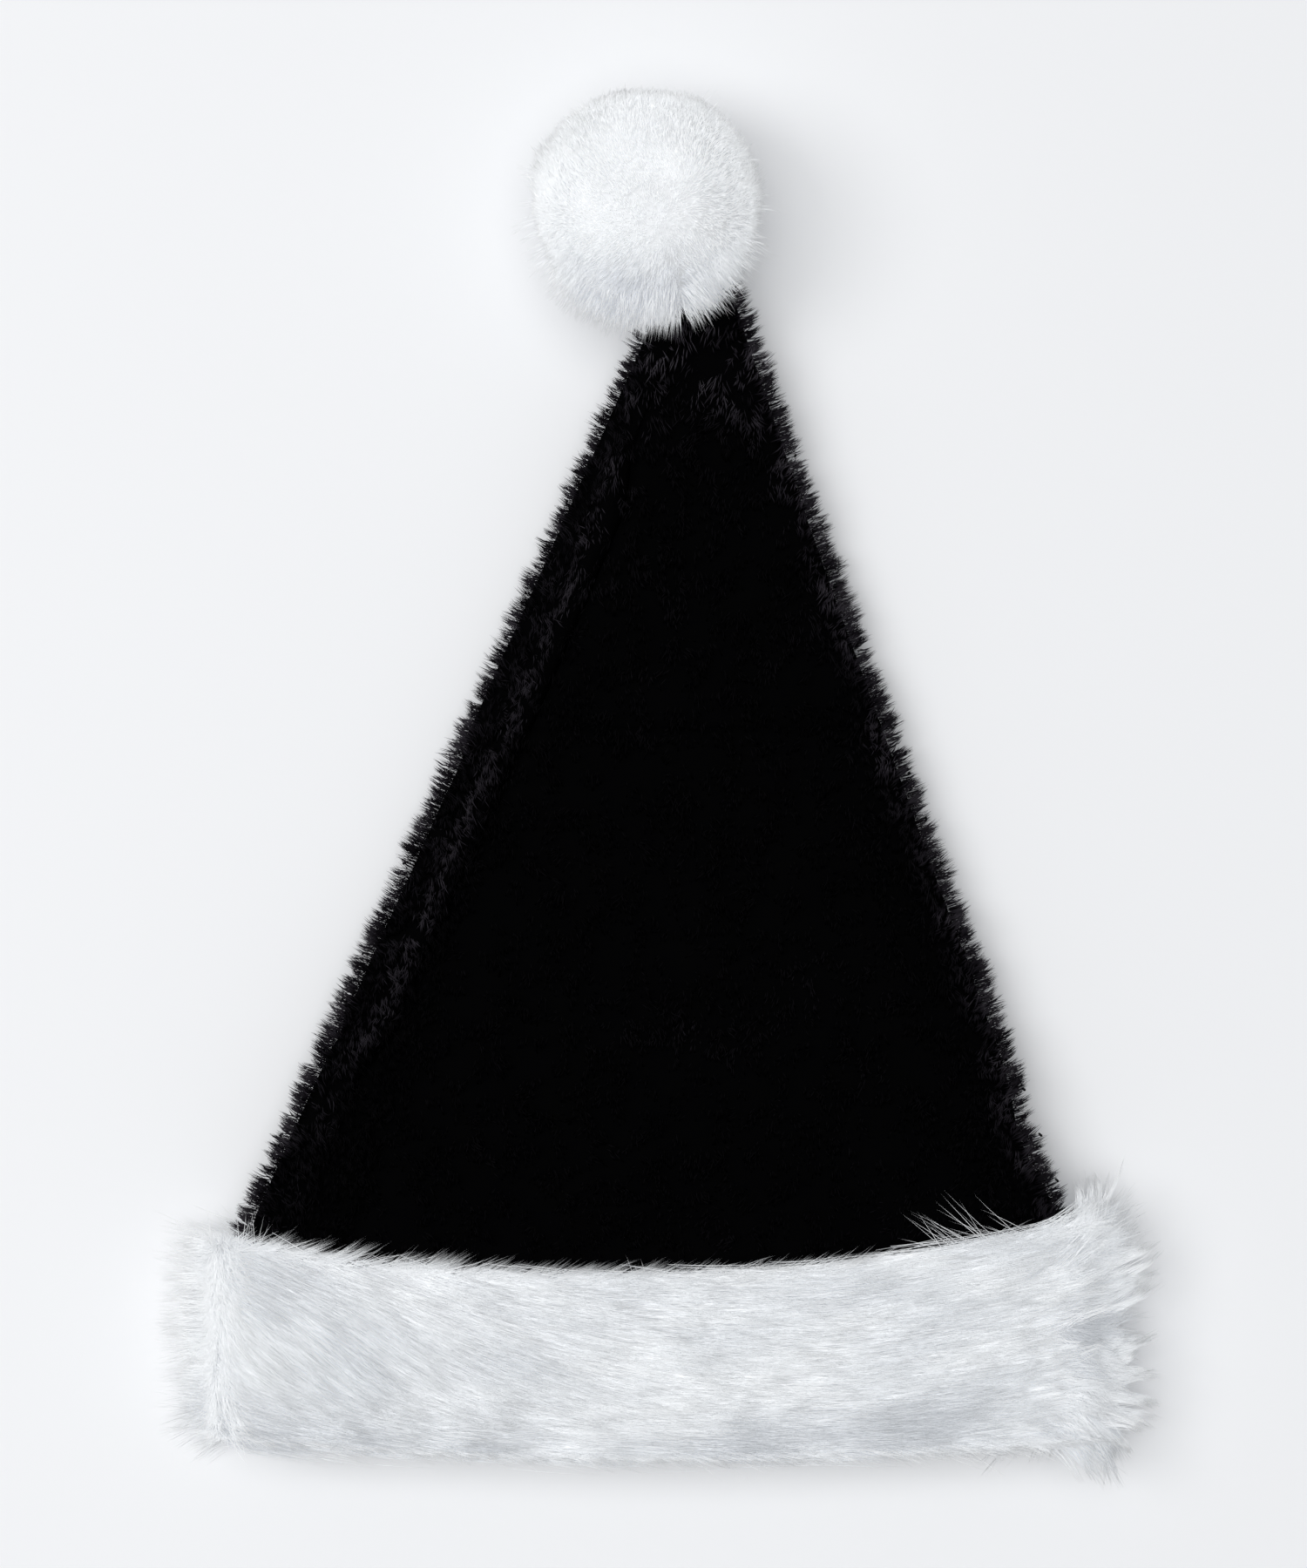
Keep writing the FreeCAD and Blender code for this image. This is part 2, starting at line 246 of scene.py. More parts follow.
def some(strands, chosen):
    return {key: value[chosen] for key, value in strands.items()}


# %% [markdown]
# ## Finishes
# Fur reads two values that every strand carries: `along`, from root to tip, and `shade`,
# a value per lock that mixes random tone with painted shade and painted highlights. The
# colour grows darker towards the root, a painted shade for the depth of the fur, and each
# lock differs a little from the next.

# %% Material helpers
# Colour of the painted glow: an emission that lifts the fur and its backing as if lit.
PAINTED_GLOW_COLOUR = (0.96, 0.98, 1, 1)


def new_material(name):
    material = bpy.data.materials.new(name)
    material.use_nodes = True
    return material, material.node_tree, material.node_tree.nodes["Principled BSDF"]


def ramp(tree, source, stops):
    """A colour ramp fed by source. stops are (place, colour)."""
    node = tree.nodes.new("ShaderNodeValToRGB")
    while len(node.color_ramp.elements) < len(stops):
        node.color_ramp.elements.new(0.5)
    for element, (place, colour) in zip(node.color_ramp.elements, stops):
        element.position = place
        element.color = (*colour, 1)
    tree.links.new(source, node.inputs["Fac"])
    return node.outputs["Color"]


def strand_value(tree, name):
    node = tree.nodes.new("ShaderNodeAttribute")
    node.attribute_name = name
    return node.outputs["Fac"]


def multiplied(tree, first, second):
    node = tree.nodes.new("ShaderNodeMix")
    node.data_type = "RGBA"
    node.blend_type = "MULTIPLY"
    node.inputs["Factor"].default_value = 1
    tree.links.new(first, node.inputs["A"])
    tree.links.new(second, node.inputs["B"])
    return node.outputs["Result"]


# %% Fur and pile
def hair_material(name, lengthwise, lockwise, roughness, sheen, glow):
    """lengthwise and lockwise are ramp stops. lengthwise darkens each strand towards its
    root: painted shade for the depth of the fur. lockwise colours it by its shade value:
    random tone, painted shade and painted highlights. glow is painted light: an emission
    that stands in for the light fine white hair passes on from strand to strand."""
    material, tree, shader = new_material(name)
    length_colour = ramp(tree, strand_value(tree, "along"), lengthwise)
    lock_colour = ramp(tree, strand_value(tree, "shade"), lockwise)
    tree.links.new(multiplied(tree, length_colour, lock_colour), shader.inputs["Base Color"])
    shader.inputs["Roughness"].default_value = roughness
    shader.inputs["Specular IOR Level"].default_value = 0.0
    shader.inputs["Sheen Weight"].default_value = sheen
    shader.inputs["Emission Color"].default_value = PAINTED_GLOW_COLOUR
    shader.inputs["Emission Strength"].default_value = glow
    return material


# The second ramp's bluish grey low end is the painted shade of the brim's lower edge and whorl.
white_fur = hair_material(
    "white_fur", [(0.0, (0.93, 0.94, 0.955)), (0.6, (0.97, 0.98, 0.99))],
    [(0.0, (0.65, 0.664, 0.69)), (0.4, (0.88, 0.889, 0.903)), (0.85, (1, 1, 1))], 0.75, 0.1,
    0.145,
)
# The second ramp's bluish low end is the painted shade at the pompom's foot.
pompom_fur = hair_material(
    "pompom_fur", [(0.0, (0.92, 0.93, 0.945)), (0.6, (0.94, 0.95, 0.96))],
    [(0.0, (0.66, 0.678, 0.725)), (0.85, (1, 1, 1))], 0.8, 0.1, 0.19,
)
# The pile's upper stops are its painted highlights, and its first ramp darkens it towards the
# root, a painted shade.
black_pile = hair_material(
    "black_pile", [(0.1, (0.4, 0.4, 0.42)), (0.8, (1, 1, 1))],
    [(0.0, (0.0014, 0.0014, 0.0015)), (0.35, (0.008, 0.0073, 0.0088)),
     (0.7, (0.027, 0.024, 0.03)), (1.0, (0.055, 0.05, 0.059))], 0.85, 0.0, 0.0,
)
print("hair finishes", [m.name for m in (white_fur, pompom_fur, black_pile)])


# %% Woven and knitted cloth
def cloth_material(name, colour, dark, size, bump, roughness, sheen, glow=0.0):
    """A fine weave: two crossed sets of threads, with slubs that change the colour."""
    material, tree, shader = new_material(name)
    place = tree.nodes.new("ShaderNodeTexCoord").outputs["Object"]
    threads = []
    for direction in ("X", "Y"):
        wave = tree.nodes.new("ShaderNodeTexWave")
        wave.bands_direction = direction
        wave.inputs["Scale"].default_value = 1 / size
        wave.inputs["Distortion"].default_value = 1.5
        wave.inputs["Detail"].default_value = 1
        tree.links.new(place, wave.inputs["Vector"])
        threads.append(wave.outputs["Fac"])
    weave = tree.nodes.new("ShaderNodeMath")
    weave.operation = "MAXIMUM"
    tree.links.new(threads[0], weave.inputs[0])
    tree.links.new(threads[1], weave.inputs[1])
    slubs = tree.nodes.new("ShaderNodeTexNoise")
    slubs.inputs["Scale"].default_value = 60
    tree.links.new(place, slubs.inputs["Vector"])
    thread_colour = ramp(tree, weave.outputs[0], [(0.1, dark), (0.8, colour)])
    slub_colour = ramp(tree, slubs.outputs["Fac"], [(0.3, (0.86,) * 3), (0.7, (1, 1, 1))])
    tree.links.new(multiplied(tree, thread_colour, slub_colour), shader.inputs["Base Color"])
    relief = tree.nodes.new("ShaderNodeBump")
    relief.inputs["Strength"].default_value = bump
    relief.inputs["Distance"].default_value = size / 3
    tree.links.new(weave.outputs[0], relief.inputs["Height"])
    tree.links.new(relief.outputs["Normal"], shader.inputs["Normal"])
    shader.inputs["Roughness"].default_value = roughness
    shader.inputs["Specular IOR Level"].default_value = 0.0
    shader.inputs["Sheen Weight"].default_value = sheen
    # Any emission given here is painted glow.
    shader.inputs["Emission Color"].default_value = PAINTED_GLOW_COLOUR
    shader.inputs["Emission Strength"].default_value = glow
    return material


# Painted shade and painted glow: the fur's backing is painted greyer than the fur, for the
# shade deep under the hair, and it glows.
fur_backing = cloth_material(
    "fur_backing", (0.78, 0.79, 0.805), (0.74, 0.75, 0.765), 1.2 * MM, 0.2, 0.9, 0.1, 0.12
)
plush_backing = cloth_material(
    "plush_backing", (0.0016, 0.0016, 0.0018), (0.0008, 0.0008, 0.001), 1.0 * MM, 0.4, 0.9, 0.0
)
lining = cloth_material(
    "lining", (0.82, 0.82, 0.8), (0.62, 0.62, 0.6), 0.7 * MM, 0.5, 0.85, 0.15
)
print("cloth finishes", [m.name for m in (fur_backing, plush_backing, lining)])


# %% Sewing thread and stuffing
def thread_material(name, colour, dark):
    """Twisted plies: slanting bands of light and dark, with a bump."""
    material, tree, shader = new_material(name)
    place = tree.nodes.new("ShaderNodeTexCoord").outputs["Object"]
    plies = tree.nodes.new("ShaderNodeTexWave")
    plies.bands_direction = "DIAGONAL"
    plies.inputs["Scale"].default_value = 900
    tree.links.new(place, plies.inputs["Vector"])
    colours = ramp(tree, plies.outputs["Fac"], [(0.1, dark), (0.7, colour)])
    tree.links.new(colours, shader.inputs["Base Color"])
    relief = tree.nodes.new("ShaderNodeBump")
    relief.inputs["Strength"].default_value = 0.44
    relief.inputs["Distance"].default_value = 0.1 * MM
    tree.links.new(plies.outputs["Fac"], relief.inputs["Height"])
    tree.links.new(relief.outputs["Normal"], shader.inputs["Normal"])
    shader.inputs["Roughness"].default_value = 0.7
    shader.inputs["Specular IOR Level"].default_value = 0.1
    return material


white_thread = thread_material("white_thread", (0.88, 0.88, 0.86), (0.66, 0.66, 0.64))
black_thread = thread_material("black_thread", (0.002, 0.002, 0.0022), (0.001, 0.001, 0.0012))


def fibre_material():
    """Tangled fibre: stretched noise drives colour and relief."""
    material, tree, shader = new_material("stuffing_fibre")
    place = tree.nodes.new("ShaderNodeTexCoord").outputs["Object"]
    tangle = tree.nodes.new("ShaderNodeTexNoise")
    tangle.inputs["Scale"].default_value = 260
    tangle.inputs["Detail"].default_value = 6
    tangle.inputs["Distortion"].default_value = 2.5
    tree.links.new(place, tangle.inputs["Vector"])
    colours = ramp(
        tree, tangle.outputs["Fac"], [(0.3, (0.7, 0.71, 0.72)), (0.65, (0.92, 0.93, 0.94))]
    )
    tree.links.new(colours, shader.inputs["Base Color"])
    relief = tree.nodes.new("ShaderNodeBump")
    relief.inputs["Strength"].default_value = 0.8
    relief.inputs["Distance"].default_value = 1.5 * MM
    tree.links.new(tangle.outputs["Fac"], relief.inputs["Height"])
    tree.links.new(relief.outputs["Normal"], shader.inputs["Normal"])
    shader.inputs["Roughness"].default_value = 0.9
    return material


stuffing = fibre_material()
print("small finishes", [m.name for m in (white_thread, black_thread, stuffing)])


# %% [markdown]
# ## Cloth from a grid
# Brim, crown and lining are all cloth that goes round the hat. `create_grid` gives the
# cloth as it lies on the cutting table, and each of its points is then carried to its
# place on the hat. Solidify gives it its thickness.

# %% Carry a grid to its place
def cloth(name, columns, rows, place, thickness, finish, closed=False):
    """place takes two arrays from 0 to 1, across and along the cloth, and gives points.
    closed joins the edges that meet once the cloth is in place."""
    bm = bmesh.new()
    bmesh.ops.create_grid(bm, x_segments=columns, y_segments=rows, size=0.5)
    flat = np.array([v.co for v in bm.verts]) + 0.5
    for vert, point in zip(bm.verts, place(flat[:, 0], flat[:, 1])):
        vert.co = point
    if closed:
        bmesh.ops.remove_doubles(bm, verts=bm.verts, dist=0.01 * MM)
    bmesh.ops.recalc_face_normals(bm, faces=bm.faces)
    if thickness:
        bmesh.ops.solidify(bm, geom=bm.faces[:], thickness=thickness)
    for face in bm.faces:
        face.smooth = True
    mesh = bpy.data.meshes.new(name)
    bm.to_mesh(mesh)
    bm.free()
    mesh.materials.append(finish)
    piece = bpy.data.objects.new(name, mesh)
    bpy.context.collection.objects.link(piece)
    print(f"{name}: {len(mesh.vertices)} points")
    return piece


# %% [markdown]
# ## The brim
# The brim is a strip of fur whose ends meet at the left fold. Its backing cloth is a
# padded band, and the fur is combed all one way round it, starting from that joint.

# %% The brim's edges
BRIM_HALF = brim_high.x
CORNER_RISE = 7 * MM
TOP_LEFT_RISE = 13 * MM
TOP_RIGHT_RISE = 20 * MM
BRIM_MIDDLE = 62 * MM
FUR_LOFT = 4.5 * MM
CORNER_ROUNDING = 4.5 * MM


def brim_bottom(x):
    return brim_low.y + CORNER_RISE * (x / BRIM_HALF) ** 2


def brim_top(x):
    share = x / BRIM_HALF
    bow = (TOP_LEFT_RISE + TOP_RIGHT_RISE) / 2 * share ** 2
    tilt = (TOP_RIGHT_RISE - TOP_LEFT_RISE) / 2 * share
    return brim_low.y + BRIM_MIDDLE + bow + tilt


def on_brim(turn, up, depth):
    """A place on the brim: turn round it, up from 0 at its lower edge to 1 at its upper
    edge, depth below the fur's surface."""
    x, z, normal, walk = stadium(
        turn, -BRIM_HALF + depth, BRIM_HALF - depth, brim_low.z + depth, brim_high.z - depth
    )
    rounded = CORNER_ROUNDING * smoothstep(x, -BRIM_HALF + 11 * MM, -BRIM_HALF) ** 2
    y = brim_bottom(x) + rounded + up * (brim_top(x) - brim_bottom(x) - 2 * rounded)
    return np.stack([x, y, z], -1), normal, walk


# %% The padded band under the fur
BAND_WALL = hem_low.z - brim_low.z - FUR_LOFT
BAND_REACH = 0.455           # half the band's height, as a share of the brim's


def band_place(across, along):
    """across goes round the hat, along goes round the wall of the band."""
    angle = along * 2 * math.pi
    square = 2 / 5
    height = np.sign(np.cos(angle)) * np.abs(np.cos(angle)) ** square
    inward = np.sign(np.sin(angle)) * np.abs(np.sin(angle)) ** square
    depth = FUR_LOFT + BAND_WALL * (0.5 - 0.5 * inward)
    up = 0.5 + height * BAND_REACH
    return on_brim(across, up, depth)[0]


band = cloth("brim_band", 220, 28, band_place, 0, fur_backing, closed=True)
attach(band, "hat_base")
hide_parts("brim_fur")


# %% The lining inside the band
LINING_WALL = 1.2 * MM
LINING_DEPTH = 1.4 * MM
HEM_DEPTH = 6.2 * MM
HEM_START = lower_low.y + 4 * MM
LINING_FOOT, LINING_REACH = 0.1, 0.84   # shares of the brim's height


def lining_place(across, along):
    """The lining lies against the band, and stands clear of the crown's hem above it."""
    mouth_y = brim_low.y + LINING_FOOT * BRIM_MIDDLE
    on_middle = mouth_y + LINING_REACH * along * BRIM_MIDDLE
    depth = LINING_DEPTH + (HEM_DEPTH - LINING_DEPTH) * smoothstep(
        on_middle, HEM_START - 20 * MM, HEM_START - 5 * MM
    )
    x, z = stadium(across, -hem_high.x + depth, hem_high.x - depth,
                   hem_low.z + depth, hem_high.z - depth)[:2]
    up = LINING_FOOT + LINING_REACH * along
    y = brim_bottom(x) + up * (brim_top(x) - brim_bottom(x))
    return np.stack([x, y, z], -1)


band_lining = cloth("brim_lining", 200, 24, lining_place, LINING_WALL, lining, closed=True)
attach(band_lining, "hat_base")
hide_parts("brim_facing")


# %% Comb the brim
BRIM_LOCKS = 5200
LOCK_STRANDS = 9
SPREAD = BRIM_HALF + 18.4 * MM
WHORL_X, WHORL_Y = BRIM_HALF - 20 * MM, brim_low.y + 40 * MM
BRIM_ROUND = girth(-BRIM_HALF, BRIM_HALF, brim_low.z, brim_high.z)
ROOT_DEPTH = 0.4 * MM        # of a lock's root, in the band


def band_depth(up):
    """How deep the band's rounded edge lies below the fur's surface."""
    across = np.clip(np.abs(2 * up - 1) / 0.94, 0, 1)
    return FUR_LOFT + BAND_WALL / 2 * (1 - (1 - across ** 5) ** 0.2)


def brim_locks(turn, up, seed):
    """Locks of brim fur. They run round the hat and slope down at the left, fan out in
    tufts round the right fold, and stand out from the hat at the left end of the back."""
    count = len(turn)
    root, normal, walk = on_brim(turn, up, band_depth(up) + ROOT_DEPTH)
    x = root[:, 0] / BRIM_HALF
    front = (turn < 0.5).astype(float)
    tufted = smoothstep(turn, 0.42, 0.475) * smoothstep(turn, 0.58, 0.53)
    astray = smoothstep(turn, 0.9, 0.95)
    first = smoothstep(turn, 0.03, 0.0)
    wave = 0.1 * ripple(root, 60 * MM, seed) + 0.05 * ripple(root, 18 * MM, seed + 3)
    slope = -0.5 * smoothstep(-x, -0.25, 0.85) * hump(up, 0.6, 0.32) + 0.06 * x
    fan = 2.2 * (up - 0.55) + 0.8 * ripple(root, 9 * MM, seed + 7)
    spill = rng.normal(0, 1, count) * (0.04 + 0.12 * tufted + 0.3 * astray)
    angle = wave + slope * front * (1 - tufted) + fan * tufted + spill
    length = (29 + 11 * rng.random(count) + 5 * ripple(root, 20 * MM, seed + 5)) * MM
    length = length * (1 - 0.35 * tufted - (0.2 + 0.4 * rng.random(count)) * astray)
    on = length * np.cos(angle)
    rise = length * np.sin(angle) / (BRIM_MIDDLE * 1.05)
    tip_up = np.clip(up + rise, -0.03 * rng.random(count), 0.97 + 0.05 * rng.random(count))
    tip_depth = (1.0 + 2.4 * rng.random(count)) * MM
    crest = (1.2 - 1.4 * first) * MM
    middle = on_brim(turn + on * (0.5 - 0.2 * first) / BRIM_ROUND, (up + tip_up) / 2, crest)[0]
    hugging = on_brim(turn + on / BRIM_ROUND, tip_up, tip_depth)[0]
    outward = np.sign(x)[:, None] * np.array([1.0, 0, 0])
    level = unit(walk * (1 - astray)[:, None] + outward * (astray + 0.6 * tufted)[:, None])
    upright = np.array([0.0, 1.0, 0.0])
    flow = level * np.cos(angle)[:, None] + upright * np.sin(angle)[:, None]
    free = root + unit(flow + normal * (0.1 + 0.25 * rng.random((count, 1)))) * length[:, None]
    share = np.maximum(tufted * rng.random(count) ** 0.5, astray)[:, None]
    free[:, 0] = np.clip(free[:, 0], -SPREAD, SPREAD)
    tip = hugging * (1 - share) + free * share
    middle = middle * (1 - share) + ((root + tip) / 2 + normal * 2 * MM) * share
    tone = ripple(root * np.array([0.4, 1, 1]), 13 * MM, seed + 9)
    shade = 0.62 + 0.4 * tone + 0.2 * ripple(root, 40 * MM, seed + 11)
    shade = shade + rng.normal(0, 0.1, count)
    # Painted shade: the fur darkens in streaks towards the brim's lower edge, and round the
    # whorl's centre. Among the tufts it is painted lighter and darker by turns, and the back's
    # stray fluff is painted lighter.
    lower_shade_streaks = 0.55 + 0.75 * ripple(root * np.array([0.3, 1, 1]), 7 * MM, seed + 15)
    shade = shade - 0.7 * smoothstep(up, 0.34, 0.08) * lower_shade_streaks + 0.25 * astray
    from_whorl = np.hypot(root[:, 0] - WHORL_X, root[:, 1] - WHORL_Y)
    shade = shade - 0.7 * hump(from_whorl, 6 * MM, 6 * MM) * front
    shade = shade + 0.5 * ripple(root, 5 * MM, seed + 13) * tufted
    gather = 0.5 + 0.35 * tufted - 0.3 * astray
    return locks(root, middle, tip, normal, shade, LOCK_STRANDS, 2.0 * MM,
                 np.repeat(gather, LOCK_STRANDS)[:, None], 0.33 * MM)


def rim_locks(count, upper):
    """Fur that covers the band's edge: at the open mouth, or where the crown comes out."""
    turn = rng.random(count)
    depth = FUR_LOFT + BAND_WALL * (0.1 + 0.8 * rng.random(count))
    end = 0.945 if upper else 0.055
    root, normal, walk = on_brim(turn, np.full(count, end), depth)
    out = np.array([0.0, 1.0 if upper else -1.0, 0.0])
    angle = 0.5 * ripple(root, 16 * MM, 31) + rng.normal(0, 0.25, count)
    lean = np.sin(angle + (-0.3 if upper else 0.25))
    run = walk * np.cos(angle)[:, None] + normal * lean[:, None]
    length = (13 + 7 * rng.random((count, 1))) * MM
    beyond = (0.3 if upper else 0.12) + 0.2 * rng.random((count, 1))
    tip = root + unit(run + out * beyond) * length
    bend = root + run * length * 0.45 + out * 2.5 * MM
    up = np.broadcast_to(out, root.shape)
    shade = 0.45 + 0.3 * rng.random(count)
    return locks(root, bend, tip, up, shade, LOCK_STRANDS, 1.7 * MM, 0.4, 0.33 * MM)


def brim_hair(name, strands, rings=RINGS):
    """Combs the strands into a piece of white fur that stays with the brim."""
    piece = comb(name, **strands, rings=rings)
    piece.data.materials.append(white_fur)
    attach(piece, "hat_base")


brim_hair("brim_fur_mouth", joined(rim_locks(620, False), rim_locks(560, True)), ONE_RING)
turns = rng.random(BRIM_LOCKS)
at_joint, at_right, at_back = np.split(turns, np.cumsum([300, 260, 160]))[:3]
at_joint[:] = rng.random(len(at_joint)) * 0.035 - 0.015
at_right[:] = 0.5 + rng.normal(0, 0.025, len(at_right))
at_back[:] = 1 - 0.015 - rng.random(len(at_back)) * 0.05
fur = brim_locks(turns, 0.03 + 0.95 * rng.random(BRIM_LOCKS), 1)
fur_turn = np.repeat(turns, LOCK_STRANDS)
edges = np.linspace(0, 1, 7)
for number, (start, end) in enumerate(zip(edges, edges[1:]), 1):
    chosen = (fur_turn % 1 >= start) & (fur_turn % 1 < end)
    brim_hair(f"brim_fur_{number}", some(fur, chosen), ONE_RING if number > 3 else RINGS)


# %% Tufts round the right fold
TUFTS = [
    # share of the brim's height, angle from the table's X in degrees, length
    (0.97, 84, 15), (0.92, 55, 13), (0.85, 38, 17), (0.78, 20, 22), (0.70, 8, 23),
    (0.62, 30, 17), (0.54, 27, 25), (0.46, 5, 16), (0.40, 14, 22), (0.33, 24, 18),
    (0.26, 8, 24), (0.18, -7, 26), (0.11, -16, 19), (0.05, -32, 14),
]


def tuft_hairs():
    """Pointed tufts that curl away from the fold, each of a few locks."""
    up, angle, length = (np.repeat(np.array(c, float), 3) for c in zip(*TUFTS))
    count = len(up)
    up = np.clip(up + rng.normal(0, 0.012, count), 0.03, 0.97)
    turn = 0.475 + 0.02 * rng.random(count)
    root, normal = on_brim(turn, up, band_depth(up) + ROOT_DEPTH)[:2]
    angle = np.radians(angle + rng.normal(0, 6, count))
    length = length * MM * (0.85 + 0.45 * rng.random(count))
    drop = -0.1 - 0.3 * rng.random(count)
    flow = np.stack([np.cos(angle), np.sin(angle), drop], -1)
    tip = root + flow * length[:, None]
    tip[:, 0] = np.minimum(tip[:, 0], SPREAD - 1.5 * MM * rng.random(count))
    curl = np.stack([-np.sin(angle), np.cos(angle), np.full(count, 1.2)], -1)
    side = np.sign(up - 0.3)[:, None] * np.array([1, 1, 0]) + np.array([0, 0, 1.0])
    bend = (root + tip) / 2 - curl * side * length[:, None] * 0.15 + normal * 3 * MM
    outer = locks(root, bend, tip, normal, 0.5 + 0.45 * rng.random(count), 30, 1.9 * MM, 0.95,
                  0.36 * MM, 0.025, 0.2)
    inner_turn = 0.43 + 0.035 * rng.random(count)
    root, normal = on_brim(inner_turn, up, band_depth(up))[:2]
    flow[:, 2] = 0.12 + 0.15 * rng.random(count)
    flow[up >= 0.85, 1] = 0
    tip = root + flow * length[:, None] * 0.75
    bend = (root + tip) / 2 - curl * side * length[:, None] * 0.12 + normal * 2 * MM
    # The inner tufts reach darker values than the outer ones: painted shade in the gaps of the
    # whorl, with random tone.
    inner = locks(root, bend, tip, normal, 0.2 + 0.8 * rng.random(count), 16, 1.8 * MM, 0.85,
                  0.3 * MM, 0.03, 0.2)
    return joined(outer, inner)


brim_hair("brim_fur_tufts", tuft_hairs())


# %% Fluff at the left fold
def fold_locks(count):
    """Fluff that hides where the strip of fur begins, at the left fold."""
    turn = -0.012 + 0.036 * rng.random(count)
    up = 0.04 + 0.92 * rng.random(count)
    root, normal, walk = on_brim(turn, up, band_depth(up) + ROOT_DEPTH)
    lean = 0.5 * ripple(root, 14 * MM, 41) + rng.normal(0, 0.2, count) - 0.3
    upright = np.array([0.0, 1.0, 0.0])
    flow = walk * (0.55 + 0.3 * rng.random((count, 1))) + upright * lean[:, None]
    length = (9 + 6 * rng.random((count, 1))) * MM
    tip = root + unit(flow + normal * (0.12 + 0.2 * rng.random((count, 1)))) * length
    bend = root + (normal * 0.25 + flow * 0.3) * length
    shade = 0.75 + 0.2 * ripple(root, 8 * MM, 43) + rng.normal(0, 0.06, count)
    return locks(root, bend, tip, normal, shade, LOCK_STRANDS, 2.0 * MM, 0.1, 0.3 * MM, 0.12)


brim_hair("brim_fur_fold", fold_locks(380), ONE_RING)


# %% Stray hairs on the brim's edges
STRAYS = [
    # x, hairs, angle from the table's X in degrees, length
    (-134, 11, 80, 14), (-143, 7, 115, 10), (-152, 8, 100, 10), (-70, 6, 20, 12),
    (-16, 5, 140, 12), (-5, 5, 120, 11), (30, 6, 30, 12), (98, 9, 150, 24),
    (110, 16, 157, 30), (122, 14, 165, 27), (128, 8, 30, 12), (143, 14, 86, 19),
]
FUZZ = 2600


def stray_hairs():
    """Fine single hairs: a few groups that stand over the crown, and a border of short
    ones that cross both edges of the brim."""
    x, count, angle, length = (np.array(column, float) for column in zip(*STRAYS))
    count = count.astype(int)
    x = np.repeat(x, count) * MM + rng.normal(0, 3 * MM, count.sum())
    angle = np.radians(np.repeat(angle, count) + rng.normal(0, 14, count.sum()))
    length = np.repeat(length, count) * MM * (0.5 + 0.6 * rng.random(count.sum()))
    y = brim_top(x) - 3 * MM
    fuzz_x = (2 * rng.random(FUZZ) - 1) * (BRIM_HALF - 9 * MM)
    low = rng.random(FUZZ) < 0.35
    fuzz_angle = 0.12 + 0.16 * rng.normal(0, 1, FUZZ) + 0.1 * fuzz_x / BRIM_HALF
    fuzz_y = np.where(low, brim_bottom(fuzz_x), brim_top(fuzz_x))
    inside = (0.6 + 3.4 * rng.random(FUZZ)) * MM
    x = np.concatenate([x, fuzz_x])
    y = np.concatenate([y, fuzz_y + np.where(low, inside, -inside)])
    angle = np.concatenate([angle, np.where(low, -fuzz_angle, fuzz_angle)])
    length = np.concatenate([length, (9 + 9 * rng.random(FUZZ)) * MM])
    x = np.clip(x, -BRIM_HALF + 4 * MM, BRIM_HALF - 4 * MM)
    z = brim_high.z - (3 + 3 * rng.random(len(x))) * MM
    root = np.stack([x, y, z], -1)
    flow = np.stack([np.cos(angle), np.sin(angle), -0.12 * rng.random(len(x))], -1)
    tip = root + flow * length[:, None]
    bend = (root + tip) / 2 + rng.normal(0, 0.6 * MM, root.shape) + np.array([0, 0, MM])
    up = np.broadcast_to([0.0, 0.0, 1.0], root.shape)
    shade = 0.6 + 0.4 * rng.random(len(x))
    return locks(root, bend, tip, up, shade, 1, 0.3 * MM, 0.3, 0.24 * MM)


brim_hair("brim_stray_hairs", stray_hairs())


# %% [markdown]
# ## The crown
# The cone is cut as a front and a back panel. Both are sheets of plush, and each is made
# in two lengths that overlap the two fold lines.

# %% The cone's outline
CROWN_START = lower_low.y + 34 * MM
SHOULDER = tip_high.y - 9 * MM
SKIN_TOP = knot_low.y + 2 * MM
PILE_HEIGHT = 6.5 * MM
LEFT_START, LEFT_END = -0.138, -0.0095
RIGHT_START, RIGHT_END = 0.138, 0.035
LOWER_FOLD = (lower_high.y + middle_low.y) / 2
UPPER_FOLD = (middle_high.y + tip_low.y) / 2
MIDWAY = (LOWER_FOLD + UPPER_FOLD) / 2
STOPS = [lower_low.y, CROWN_START, LOWER_FOLD, UPPER_FOLD, SHOULDER, knot_low.y]
LOWS = [7 * MM, 7 * MM, 0, 0, 8 * MM, 17 * MM]
HIGHS = [33 * MM, 33 * MM, 22 * MM, 20 * MM, 28 * MM, 38 * MM]
# y on the middle line, slope across the crown, width, height in mm
CREASES = [
    (CROWN_START + 12 * MM, 0.06, 6 * MM, -1.3),
    (CROWN_START + 60 * MM, -0.05, 7 * MM, -1.2),
    (CROWN_START + 72 * MM, -0.08, 5 * MM, 0.8),
    (CROWN_START + 140 * MM, 0.12, 8 * MM, -0.7),
]
print("folds at", round(LOWER_FOLD, 4), round(UPPER_FOLD, 4))


